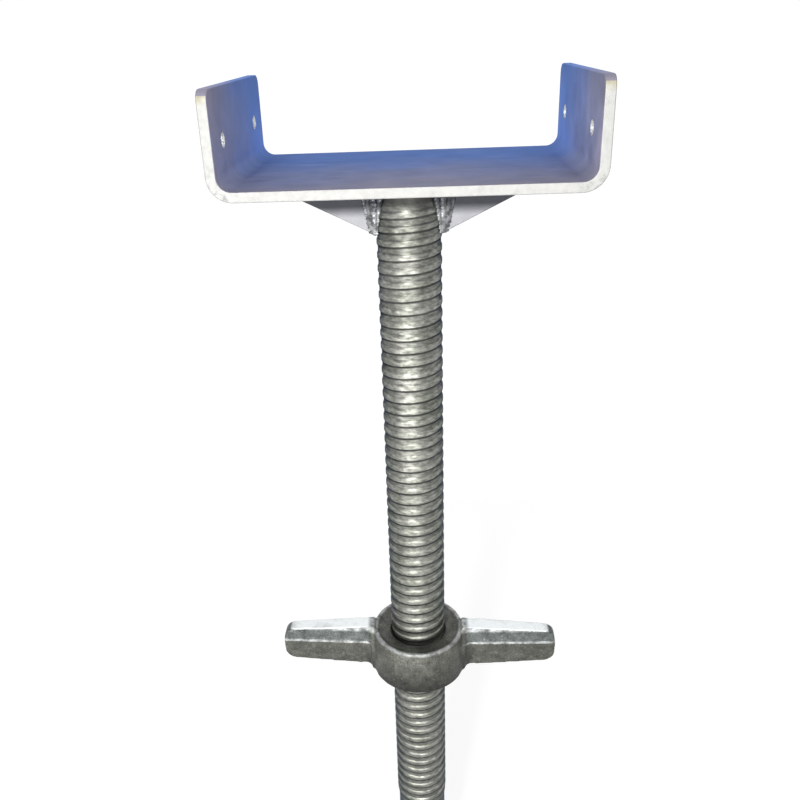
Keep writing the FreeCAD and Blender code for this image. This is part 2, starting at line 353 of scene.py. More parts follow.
def discard(carrier):
    """Removes a passing object and its mesh."""
    mesh = carrier.data
    bpy.data.objects.remove(carrier)
    bpy.data.meshes.remove(mesh)


def collect(carrier):
    """What the modifiers made of a passing object, as a bmesh."""
    graph = bpy.context.evaluated_depsgraph_get()
    shaped = bpy.data.meshes.new_from_object(carrier.evaluated_get(graph))
    bm = bmesh.new()
    bm.from_mesh(shaped)
    bpy.data.meshes.remove(shaped)
    discard(carrier)
    return bm


def skin_solids(bm, grain):
    """One closed skin round overlapping solids."""
    carrier = add_object("solids", bm)
    remesh = carrier.modifiers.new("skin", "REMESH")
    remesh.mode = "VOXEL"
    remesh.voxel_size = grain
    return collect(carrier)


def cut_away(bm, drills):
    """A solid with other solids taken out of it."""
    carrier = add_object("stock", bm)
    drill = add_object("drills", drills)
    cut = carrier.modifiers.new("cut", "BOOLEAN")
    cut.operation = "DIFFERENCE"
    cut.solver = "EXACT"
    cut.object = drill
    result = collect(carrier)
    discard(drill)
    return result


def add_node(tree, kind, inputs=None, **values):
    """Adds a node, sets its own values and fills or links its inputs."""
    node = tree.nodes.new(kind)
    for name, value in values.items():
        setattr(node, name, value)
    for name, value in (inputs or {}).items():
        socket = node.inputs[name]
        if isinstance(value, bpy.types.NodeSocket):
            tree.links.new(value, socket)
        else:
            socket.default_value = value
    return node


def ramp_of(tree, factor, stops):
    """A colour ramp through (place, grey or colour) stops."""
    node = add_node(tree, "ShaderNodeValToRGB", {"Fac": factor})
    elements = node.color_ramp.elements
    while len(elements) < len(stops):
        elements.new(0.5)
    for element, (place, value) in zip(elements, stops):
        element.position = place
        rgb = (value,) * 3 if isinstance(value, (int, float)) else tuple(value)
        element.color = (*rgb, 1.0)
    return node.outputs["Color"]


def mix_colours(tree, factor, first, second, blend="MIX"):
    """Mixes two colours by a factor."""
    node = add_node(tree, "ShaderNodeMix", data_type="RGBA", blend_type=blend)
    for socket, value in ((node.inputs[0], factor), (node.inputs[6], first), (node.inputs[7], second)):
        if isinstance(value, bpy.types.NodeSocket):
            tree.links.new(value, socket)
        elif isinstance(value, (int, float)):
            socket.default_value = value
        else:
            socket.default_value = (*value, 1.0)
    return node.outputs[2]


def tinted(tree, base, tint):
    """A colour multiplied by a tint or a grey factor."""
    return mix_colours(tree, 1.0, base, tint, "MULTIPLY")


def calculate(tree, operation, first, second=0.0):
    """One step of arithmetic on values or sockets."""
    return add_node(tree, "ShaderNodeMath", {0: first, 1: second}, operation=operation).outputs[0]


def times(tree, first, *others):
    """The product of values or sockets."""
    for other in others:
        first = calculate(tree, "MULTIPLY", first, other)
    return first


def spread(tree, value, span, onto=(0.0, 1.0)):
    """Stretches a span of values onto another one, and stops at its ends."""
    inputs = {
        "Value": value,
        "From Min": span[0],
        "From Max": span[1],
        "To Min": onto[0],
        "To Max": onto[1],
    }
    return add_node(tree, "ShaderNodeMapRange", inputs, clamp=True).outputs["Result"]


def speckle(tree, place, scale, detail=3.0, roughness=0.55, stretch=(1.0, 1.0, 1.0)):
    """Noise of a scale in lumps for each metre, stretched along the axes."""
    mapped = add_node(tree, "ShaderNodeMapping", {"Vector": place, "Scale": stretch}).outputs["Vector"]
    inputs = {"Vector": mapped, "Scale": scale, "Detail": detail, "Roughness": roughness}
    return add_node(tree, "ShaderNodeTexNoise", inputs).outputs["Fac"]


def bumped(tree, height, distance, strength, normal=None):
    """A normal roughened by a height."""
    inputs = {"Height": height, "Distance": distance, "Strength": strength}
    if normal is not None:
        inputs["Normal"] = normal
    return add_node(tree, "ShaderNodeBump", inputs).outputs["Normal"]


def start_material(name):
    """An empty material with its tree, its object coordinates and their parts."""
    material = bpy.data.materials.new(name)
    material.use_nodes = True
    tree = material.node_tree
    tree.nodes.clear()
    place = add_node(tree, "ShaderNodeTexCoord").outputs["Object"]
    parts = add_node(tree, "ShaderNodeSeparateXYZ", {"Vector": place}).outputs
    return material, tree, place, parts


def finish_material(tree, **inputs):
    """Ends a material in one shader with the given inputs."""
    named = {name.replace("_", " "): value for name, value in inputs.items()}
    shader = add_node(tree, "ShaderNodeBsdfPrincipled", named)
    add_node(tree, "ShaderNodeOutputMaterial", {"Surface": shader.outputs["BSDF"]})


def painted_saddle_shadow(tree, height, finish):
    """Painted shadow in the corner under the saddle, which fades out at its depth below the plate."""
    depth, strength = SADDLE_SHADOW[finish]
    fade = (saddle_low.z - depth, saddle_low.z - 0.7 * depth)
    return times(tree, spread(tree, height, fade), strength)


def plate_finish(sizes):
    """Zinc on rolled plate with a painted blue reflection: bluer towards the back, cloudy, with faint
    rolling lines.
    """
    material, tree, place, parts = start_material("plate_zinc")
    # Painted reflection: the colour runs from the front tone to a reflected blue towards the back
    depth = spread(tree, parts["Y"], (saddle_low.y, saddle_high.y))
    clouds = speckle(tree, place, scale=22.0, detail=4.0)
    wander = calculate(tree, "ADD", depth, spread(tree, clouds, MOST, (-0.12, 0.12)))
    base = ramp_of(tree, wander, [(0.0, sizes.front_reflected_tone), (0.75, sizes.back_reflected_blue)])
    patches = speckle(tree, place, scale=60.0, detail=5.0)
    base = tinted(tree, base, spread(tree, patches, MOST, (0.84, 1.1)))
    # Painted light: the plate is made up to 1.8 times lighter through the bends and darker again, to 0.72,
    # towards the tops of the legs
    above = calculate(tree, "SUBTRACT", parts["Z"], saddle_low.z)
    bend = sizes.thickness + sizes.bend_radius
    rise = spread(tree, above, (sizes.thickness, bend), (1.0, 1.8))
    fall = spread(tree, above, (bend, saddle_high.z - saddle_low.z), (1.0, 0.72))
    base = tinted(tree, base, times(tree, rise, fall))
    lines = speckle(tree, place, scale=300.0, detail=2.0, stretch=(0.08, 1.0, 0.08))
    base = mix_colours(tree, spread(tree, lines, (0.58, 0.72), (0.0, 0.18)), base, sizes.line_colour)
    grain = speckle(tree, place, scale=1400.0, detail=2.0)
    normal = bumped(tree, patches, 0.25 * MM, 0.35)
    normal = bumped(tree, grain, 0.04 * MM, 0.4, normal)
    finish_material(
        tree,
        Base_Color=base,
        Metallic=1.0,
        Roughness=spread(tree, patches, MOST, (0.64, 0.78)),
        Specular_Tint=(0.5, 0.6, 0.9, 1.0),
        Normal=normal,
    )
    return material


def cut_edge_finish(sizes):
    """Bright zinc on the cut edges, with grey marks at the bends and a stain at the tops of the legs."""
    material, tree, place, parts = start_material("cut_edge_zinc")
    marks = speckle(tree, place, scale=260.0, detail=5.0, roughness=0.7)
    beside = calculate(tree, "ABSOLUTE", parts["X"])
    bend = sizes.thickness + sizes.bend_radius
    in_bend_x = spread(tree, beside, (saddle_high.x - 1.3 * bend, saddle_high.x - 0.7 * bend))
    in_bend_z = spread(tree, parts["Z"], (saddle_low.z + 1.4 * bend, saddle_low.z + 0.6 * bend))
    in_bend = times(tree, in_bend_x, in_bend_z)
    marked = times(tree, in_bend, spread(tree, marks, (0.48, 0.62), (0.0, 0.65)))
    specks = spread(tree, marks, (0.64, 0.74), (0.0, 0.35))
    grey = calculate(tree, "MAXIMUM", marked, specks)
    base = mix_colours(tree, grey, sizes.edge_colour, sizes.mark_colour)
    at_top = spread(tree, parts["Z"], (saddle_high.z - 8 * MM, saddle_high.z - 3 * MM))
    stain = times(tree, at_top, spread(tree, marks, (0.35, 0.6), (0.3, 0.9)))
    base = mix_colours(tree, stain, base, sizes.stain_colour)
    finish_material(
        tree,
        Base_Color=base,
        Metallic=0.8,
        Roughness=spread(tree, marks, MOST, (0.6, 0.75)),
        Normal=bumped(tree, marks, 0.12 * MM, 0.5),
    )
    return material


def hole_finish(sizes):
    """Near-white zinc on the walls of the drilled holes, painted light that stands for light seen through
    them, with faint drilling marks.
    """
    material, tree, place, _ = start_material("drilled_zinc")
    marks = speckle(tree, place, scale=500.0, stretch=(1.0, 0.3, 0.3))
    dull = spread(tree, marks, (0.4, 0.7), (0.0, 0.5))
    # Painted light: near-white walls stand for the bright light seen through the holes
    base = mix_colours(tree, dull, sizes.painted_light_hole_colour, sizes.edge_colour)
    finish_material(
        tree,
        Base_Color=base,
        Metallic=1.0,
        Roughness=spread(tree, marks, MOST, (0.25, 0.4)),
        Normal=bumped(tree, marks, 0.05 * MM, 0.3),
    )
    return material


def gusset_finish(sizes):
    """Pale cloudy zinc on the gussets, with a painted shadow in the corner under the saddle."""
    material, tree, place, parts = start_material("gusset_zinc")
    clouds = speckle(tree, place, scale=120.0, detail=4.0)
    cloudy = spread(tree, clouds, (0.35, 0.7), (0.0, 0.5))
    base = mix_colours(tree, cloudy, sizes.gusset_colour, sizes.gusset_shade)
    # Painted shadow: the gusset turns near-black under the saddle, where the saddle casts its shadow
    base = mix_colours(tree, painted_saddle_shadow(tree, parts["Z"], "gusset"), base, sizes.painted_shadow_colour)
    finish_material(
        tree,
        Base_Color=base,
        Metallic=0.35,
        Roughness=0.5,
        Specular_IOR_Level=0.2,
        Normal=bumped(tree, clouds, 0.2 * MM, 0.4),
    )
    return material


def flank_width(sizes):
    """Height of one flank of the thread along the rod."""
    return (sizes.pitch - sizes.crest_land - sizes.root_land) / 2


def thread_phase(tree, parts, sizes):
    """Place within one turn of the thread, from 0 in the middle of a root to 1 in the next one."""
    turned = calculate(tree, "DIVIDE", calculate(tree, "ARCTAN2", parts["Y"], parts["X"]), FULL_TURN)
    above = calculate(tree, "SUBTRACT", parts["Z"], sizes.thread_bottom)
    risen = calculate(tree, "DIVIDE", above, sizes.pitch)
    return calculate(tree, "FRACT", calculate(tree, "SUBTRACT", risen, turned))


def rod_finish(sizes):
    """Zinc on a rolled thread: streaky crests with a faint green cast, and painted shade in the grooves and
    under the saddle.
    """
    material, tree, place, parts = start_material("rod_zinc")
    clouds = speckle(tree, place, scale=55.0, detail=4.0)
    drag = speckle(tree, place, scale=900.0, stretch=(0.25, 0.25, 1.0))
    tint = mix_colours(tree, spread(tree, clouds, (0.35, 0.65)), sizes.crest_colour, sizes.crest_shade)
    tint = tinted(tree, tint, spread(tree, drag, MOST, (0.68, 1.25)))
    blotches = speckle(tree, place, scale=320.0, detail=4.0, roughness=0.65, stretch=(0.7, 0.7, 1.6))
    in_thread = spread(tree, parts["Z"], (sizes.thread_bottom, sizes.thread_bottom + sizes.pitch))
    calmer_tail = spread(tree, in_thread, (0.0, 1.0), (0.3, 1.0))
    uneven = times(tree, spread(tree, blotches, (0.32, 0.66), (-0.4, 0.35)), calmer_tail)
    tint = tinted(tree, tint, calculate(tree, "ADD", uneven, 1.0))
    foot = sizes.root_land / 2 / sizes.pitch
    flank = flank_width(sizes) / sizes.pitch
    # Painted shade in the grooves: darker root lands, a dark band along the downward-facing flank and a
    # fainter one at the foot of the upward-facing flank
    root_shade = 0.36
    lower_flank_shade = 0.9
    upper_flank_shade = 0.5
    stops = [
        (foot - 0.09, root_shade),
        (foot - 0.03, lower_flank_shade),
        (foot + 0.8 * flank, lower_flank_shade),
        (foot + 1.15 * flank, 0.0),
        (1 - foot - 0.5 * flank, 0.0),
        (1 - foot, upper_flank_shade),
        (1 - foot + 0.05, root_shade),
    ]
    painted_groove_shade = ramp_of(tree, thread_phase(tree, parts, sizes), stops)
    painted_shade = times(tree, painted_groove_shade, spread(tree, clouds, (0.25, 0.6), (0.75, 1.0)), in_thread)
    # Painted shadow under the saddle is joined to the painted shade in the grooves
    painted_shade = calculate(tree, "MAXIMUM", painted_shade, painted_saddle_shadow(tree, parts["Z"], "rod"))
    finish_material(
        tree,
        Base_Color=mix_colours(tree, painted_shade, tint, sizes.groove_shade_colour),
        Metallic=1.0,
        Roughness=spread(tree, blotches, MOST, (0.5, 0.36)),
        Specular_Tint=(0.12, 0.16, 0.27, 1.0),
        Normal=bumped(tree, drag, 0.08 * MM, 0.35),
    )
    return material


def weld_finish(sizes):
    """Zinc over weld beads: uneven grey with bright tops, and a painted shadow in the corner under the
    saddle.
    """
    material, tree, place, parts = start_material("weld_zinc")
    clouds = speckle(tree, place, scale=240.0, detail=4.0)
    base = mix_colours(tree, spread(tree, clouds, (0.4, 0.62)), sizes.bead_colour, sizes.bead_shade)
    # Painted shadow: the beads turn near-black under the saddle, where the saddle casts its shadow
    base = mix_colours(tree, painted_saddle_shadow(tree, parts["Z"], "weld"), base, sizes.painted_shadow_colour)
    finish_material(
        tree,
        Base_Color=base,
        Metallic=0.3,
        Roughness=spread(tree, clouds, MOST, (0.16, 0.36)),
        Normal=bumped(tree, clouds, 0.6 * MM, 0.6),
    )
    return material


def rubbed_and_highlit_places(tree, parts, sizes, top, on_wing, uneven):
    """Where the casting is rubbed, and painted with highlights: the tops of the wings, and in patches their
    ledges and the rim's lip.
    """
    parting = top - sizes.parting_below_top
    beside = calculate(tree, "ABSOLUTE", parts["X"])
    slope = (top + sizes.wing_rise, top - sizes.wing_drop)
    wing_top = spread(tree, beside, (0.0, sizes.wing_span / 2), slope)
    below_top = calculate(tree, "SUBTRACT", wing_top, parts["Z"])
    on_top = spread(tree, below_top, (1.1 * MM, 0.5 * MM))
    patchy = spread(tree, uneven, (0.38, 0.62), (0.12, 0.62))
    from_ledge = calculate(tree, "ABSOLUTE", calculate(tree, "SUBTRACT", parts["Z"], parting))
    on_ledge = times(tree, spread(tree, from_ledge, (0.7 * MM, 0.3 * MM)), patchy)
    on_wings = times(tree, on_wing, calculate(tree, "MAXIMUM", on_top, on_ledge))
    across = add_node(tree, "ShaderNodeCombineXYZ", {"X": parts["X"], "Y": parts["Y"]}).outputs["Vector"]
    radius = add_node(tree, "ShaderNodeVectorMath", {0: across}, operation="LENGTH").outputs["Value"]
    lip = sizes.rim_radius - sizes.lip_width
    on_lip = times(tree, spread(tree, radius, (lip - 0.5 * sizes.lip_width, lip)), patchy)
    on_rim = times(tree, on_lip, spread(tree, parts["Z"], (top - 2.5 * MM, top - 0.8 * MM)))
    return calculate(tree, "MAXIMUM", on_wings, on_rim)


def cast_finish(sizes, top):
    """Zinc over a rough casting: dark and pitted, painted with shade at its foot, rubbed bright by handling
    and painted with highlights.
    """
    material, tree, place, parts = start_material("cast_zinc")
    parting = top - sizes.parting_below_top
    clouds = speckle(tree, place, scale=70.0, detail=5.0)
    pits = speckle(tree, place, scale=900.0, roughness=0.6)
    stains = speckle(tree, place, scale=150.0, detail=6.0, roughness=0.72)
    base = mix_colours(tree, spread(tree, clouds, (0.35, 0.7)), sizes.cast_colour, sizes.cast_shade)
    beside = calculate(tree, "ABSOLUTE", parts["X"])
    on_wing = spread(tree, beside, (sizes.skirt_radius - 1 * MM, sizes.skirt_radius + 3 * MM))
    above_parting = spread(tree, parts["Z"], (parting - 1 * MM, parting + 1 * MM))
    tints = [(0.0, sizes.collar_tint), (1.0, sizes.wing_tint)]
    base = tinted(tree, base, ramp_of(tree, times(tree, on_wing, above_parting), tints))
    base = mix_colours(tree, spread(tree, pits, (0.46, 0.3), (0.0, 0.85)), base, sizes.pit_colour)
    base = mix_colours(tree, spread(tree, pits, (0.6, 0.7), (0.0, 0.3)), base, sizes.speck_colour)
    base = tinted(tree, base, spread(tree, stains, MOST, (0.45, 1.45)))
    # Wear and painted highlight: the rubbed places also stand for light catching the up-facing tops, ledges
    # and rim
    rubbed = rubbed_and_highlit_places(tree, parts, sizes, top, on_wing, stains)
    worn_and_highlit = times(tree, rubbed, spread(tree, clouds, (0.2, 0.5), (0.6, 1.0)))
    # Painted shade: the collar, not the wings, darkens towards its foot down to a fifth of its colour, as
    # light falls from above
    painted_foot_shade = spread(tree, parts["Z"], (top - sizes.height, parting), (0.2, 1.1))
    past_collar = spread(tree, beside, (sizes.skirt_radius, sizes.skirt_radius + 6 * MM))
    base = tinted(tree, base, calculate(tree, "MAXIMUM", painted_foot_shade, past_collar))
    finish_material(
        tree,
        Base_Color=mix_colours(tree, worn_and_highlit, base, sizes.rubbed_and_highlight_colour),
        Metallic=calculate(tree, "MAXIMUM", worn_and_highlit, 0.33),
        Roughness=spread(tree, clouds, MOST, (0.34, 0.5)),
        Specular_IOR_Level=0.2,
        Normal=bumped(tree, pits, 0.45 * MM, 0.6),
    )
    return material


class JACK_OT_saddle(bpy.types.Operator):
    """Folds the saddle from one plate, drills its legs and rounds its cut edges"""

    bl_idname = "jack.saddle"
    bl_label = "Saddle plate"

    def fold(self, bm, sizes):
        """Sweeps the saddle's outer line along the beam, rounds its folds and corners and thickens it."""
        path = [
            (saddle_low.x, saddle_low.y, saddle_high.z),
            (saddle_low.x, saddle_low.y, saddle_low.z),
            (saddle_high.x, saddle_low.y, saddle_low.z),
            (saddle_high.x, saddle_low.y, saddle_high.z),
        ]
        _, edges = open_path(bm, path)
        sweep(bm, edges, (0, saddle_high.y - saddle_low.y, 0))
        folds = [edge for edge in bm.edges if len(edge.link_faces) == 2]
        round_sharp_edges(bm, folds, sizes.bend_radius + sizes.thickness, 12)
        tops = [vert for vert in bm.verts if vert.co.z > saddle_high.z - 0.01 * MM]
        round_corners(bm, tops, sizes.leg_corner_radius, 6)
        bmesh.ops.recalc_face_normals(bm, faces=bm.faces)
        floor_face = min(bm.faces, key=lambda face: face.calc_center_median().z)
        inward = sizes.thickness if floor_face.normal.z < 0 else -sizes.thickness
        bmesh.ops.solidify(bm, geom=bm.faces[:], thickness=inward)
        tidy_skin(bm)

    def drills(self):
        """Two long drills that pass through both legs."""
        spacing = leg_bolts["dims"]["spacing_x_mm"] * MM
        radius = leg_bolts["dims"]["hole_r_mm"] * MM
        bm = bmesh.new()
        for hole_y in (-spacing / 2, spacing / 2):
            place = Matrix.Translation((0, hole_y, leg_bolts["pos_m"][2]))
            bmesh.ops.create_cone(
                bm,
                cap_ends=True,
                segments=40,
                radius1=radius,
                radius2=radius,
                depth=2.2 * saddle_high.x,
                matrix=place @ Matrix.Rotation(math.pi / 2, 4, "Y"),
            )
        return bm

    def execute(self, context):
        sizes = settings(context).saddle
        finishes = [plate_finish(sizes), cut_edge_finish(sizes), hole_finish(sizes)]
        on_plate, on_cut_edge, in_hole = range(len(finishes))
        bm = bmesh.new()
        self.fold(bm, sizes)
        for face in bm.faces:
            face.material_index = on_cut_edge if abs(face.normal.y) > 0.9 else on_plate
        round_sharp_edges(bm, sharp_edges(bm, 50.0), sizes.edge_round, 3)
        drills = self.drills()
        for face in drills.faces:
            face.material_index = in_hole
        bm = cut_away(bm, drills)
        piece = make_piece("saddle_plate_shell", bm, finishes, "jack", ["saddle_plate"])
        even_shading(piece)
        return {"FINISHED"}


class JACK_OT_gussets(bpy.types.Operator):
    """Cuts the two gussets from plate and rounds their edges"""

    bl_idname = "jack.gussets"
    bl_label = "Gussets"

    def execute(self, context):
        sizes = settings(context).saddle
        finish = gusset_finish(sizes)
        for node in ("gusset_left", "gusset_right"):
            low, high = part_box(node)
            inner, outer = sorted((low.x, high.x), key=abs)
            bm = bmesh.new()
            outline = [
                (inner, low.y, high.z),
                (outer, low.y, high.z),
                (outer, low.y, high.z - sizes.gusset_nose),
                (inner, low.y, low.z),
            ]
            face = bm.faces.new([bm.verts.new(place) for place in outline])
            swept = bmesh.ops.extrude_face_region(bm, geom=[face])
            bmesh.ops.translate(bm, verts=new_verts(swept), vec=(0, high.y - low.y, 0))
            tidy_skin(bm)
            round_sharp_edges(bm, sharp_edges(bm, 20.0), sizes.edge_round, 3)
            piece = make_piece(f"{node}_plate", bm, [finish], "jack", [node])
            even_shading(piece)
        return {"FINISHED"}


class JACK_OT_rod(bpy.types.Operator):
    """Rolls the thread on the rod, with its run-outs, plain tail and neck"""

    bl_idname = "jack.rod"
    bl_label = "Threaded rod"

    def roll_thread(self, bm, sizes):
        """Spins the thread's section into one turn, and stacks turns past both ends of the thread."""
        crest = rod_high.x
        flank = flank_width(sizes)
        start = sizes.thread_bottom - 2 * sizes.pitch
        turns = round((sizes.thread_top - start) / sizes.pitch) + 2
        section = [
            (sizes.root_radius, 0.0),
            (sizes.root_radius, sizes.root_land / 2),
            (crest, sizes.root_land / 2 + flank),
            (crest, sizes.root_land / 2 + flank + sizes.crest_land),
            (sizes.root_radius, sizes.pitch - sizes.root_land / 2),
            (sizes.root_radius, sizes.pitch),
        ]
        verts, _ = open_path(bm, [(radius, 0.0, start + rise) for radius, rise in section])
        round_corners(bm, verts[1:-1], sizes.corner_round, 3)
        bmesh.ops.spin(
            bm,
            geom=bm.verts[:] + bm.edges[:],
            cent=(0, 0, 0),
            axis=(0, 0, 1),
            dvec=(0, 0, sizes.pitch / sizes.steps),
            angle=FULL_TURN,
            steps=sizes.steps,
            use_merge=False,
            use_duplicate=False,
        )
        one_turn = everything(bm)
        for turn in range(1, turns):
            copied = new_verts(bmesh.ops.duplicate(bm, geom=one_turn))
            bmesh.ops.translate(bm, verts=copied, vec=(0, 0, turn * sizes.pitch))
        bmesh.ops.remove_doubles(bm, verts=bm.verts, dist=SEAM_GAP)

    def run_out(self, bm, sizes):
        """Trims the thread at both ends and lets it sink into the plain bar over its last turns."""
        for z, up in ((sizes.thread_bottom, -1), (sizes.thread_top, 1)):
            bmesh.ops.bisect_plane(
                bm,
                geom=everything(bm),
                plane_co=(0, 0, z),
                plane_no=(0, 0, up),
                clear_outer=True,
                dist=0.001 * MM,
            )
        for vert in bm.verts:
            fade = min(vert.co.z - sizes.thread_bottom, sizes.thread_top - vert.co.z) / sizes.pitch
            radius = math.hypot(vert.co.x, vert.co.y)
            faded = blank_radius + (radius - blank_radius) * min(1.0, max(0.0, fade))
            vert.co.x *= faded / radius
            vert.co.y *= faded / radius
        bmesh.ops.remove_doubles(bm, verts=bm.verts, dist=SEAM_GAP)

    def close_ends(self, bm, sizes):
        """Draws the tail with its chamfer and the neck out of the thread's ends, and caps them."""
        chamfered = (blank_radius - tail_bottom) / blank_radius
        ends = [
            (sizes.thread_bottom, [(tail_bottom, 1.0), (rod_low.z, chamfered)]),
            (sizes.thread_top, [(rod_high.z, 1.0)]),
        ]
        for z, rings in ends:
            border = [edge for edge in bm.edges if edge.is_boundary]
            rim = [edge for edge in border if abs(edge.verts[0].co.z - z) < 0.1 * MM]
            for ring_z, scale in rings:
                swept = bmesh.ops.extrude_edge_only(bm, edges=rim)["geom"]
                rim = [item for item in swept if isinstance(item, bmesh.types.BMEdge)]
                for vert in {vert for edge in rim for vert in edge.verts}:
                    vert.co = (vert.co.x * scale, vert.co.y * scale, ring_z)
            bmesh.ops.contextual_create(bm, geom=rim)

    def execute(self, context):
        sizes = settings(context).rod
        bm = bmesh.new()
        self.roll_thread(bm, sizes)
        self.run_out(bm, sizes)
        self.close_ends(bm, sizes)
        tidy_skin(bm)
        make_piece("rolled_rod", bm, [rod_finish(sizes)], "jack", ["threaded_rod"], 35.0)
        return {"FINISHED"}


class JACK_OT_welds(bpy.types.Operator):
    """Lays the rippled weld beads round the rod's neck and along the gussets"""

    bl_idname = "jack.welds"
    bl_label = "Weld runs"

    def execute(self, context):
        sizes = settings(context).weld
        dice = random.Random(sizes.seed)
        low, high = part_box("gusset_right")
        bm = bmesh.new()

        def drop(place, radius):
            """One uneven drop of a bead."""
            size = radius * dice.uniform(0.88, 1.08)
            stretch = [dice.uniform(0.9, 1.1) for _ in range(3)]
            matrix = Matrix.Translation(place) @ Matrix.Diagonal((*stretch, 1.0))
            bmesh.ops.create_icosphere(bm, subdivisions=2, radius=size, matrix=matrix)

        def ring(radius, z, bead):
            """A bead round the rod."""
            count = round(FULL_TURN * radius / sizes.spacing)
            for index in range(count):
                turned = FULL_TURN * index / count
                drop((radius * math.cos(turned), radius * math.sin(turned), z), bead)

        def run(side, face, bead):
            """A bead in the corner between a gusset's face and the saddle."""
            y = face * (high.y + 0.45 * bead)
            z = high.z - 0.4 * bead
            start = Vector((side * (low.x + 2 * bead), y, z))
            end = Vector((side * 0.94 * high.x, y, z))
            count = max(2, round((end - start).length / sizes.spacing))
            for index in range(count + 1):
                drop(start.lerp(end, index / count), bead)

        def climb(side, face):
            """A bead up the corner between a gusset's face and the rod, wider towards the saddle."""
            count = round((high.z - low.z) / sizes.spacing)
            toe_reach = rod_high.x - 0.2 * MM
            for index in range(count):
                along = index / (count - 1)
                leg = sizes.run_leg_bottom + (sizes.run_leg_top - sizes.run_leg_bottom) * along
                toe = math.radians(18 + 24 * along)
                z = low.z + 0.5 * leg + (high.z - low.z - 0.8 * leg) * along
                drops = [
                    (low.x + 1.05 * leg, high.y, 0.3),
                    (low.x + 0.5 * leg, high.y + 0.15 * leg, 0.48),
                    (low.x, high.y + 0.56 * leg, 0.5),
                    (toe_reach * math.cos(toe), toe_reach * math.sin(toe), 0.34),
                ]
                for x, y, leg_share in drops:
                    drop((side * x, face * y, z), leg_share * leg)

        ring_z = saddle_low.z - 0.55 * sizes.ring_bead
        ring(blank_radius + 0.65 * sizes.ring_bead, ring_z, sizes.ring_bead)
        for side in (-1, 1):
            for face in (-1, 1):
                run(side, face, sizes.gusset_bead)
                climb(side, face)
        skin = skin_solids(bm, sizes.grain)
        smooth(skin, skin.verts, 1)
        tidy_skin(skin)
        make_piece("weld_beads", skin, [weld_finish(sizes)], "jack", ["weld_runs"], 180.0)
        return {"FINISHED"}


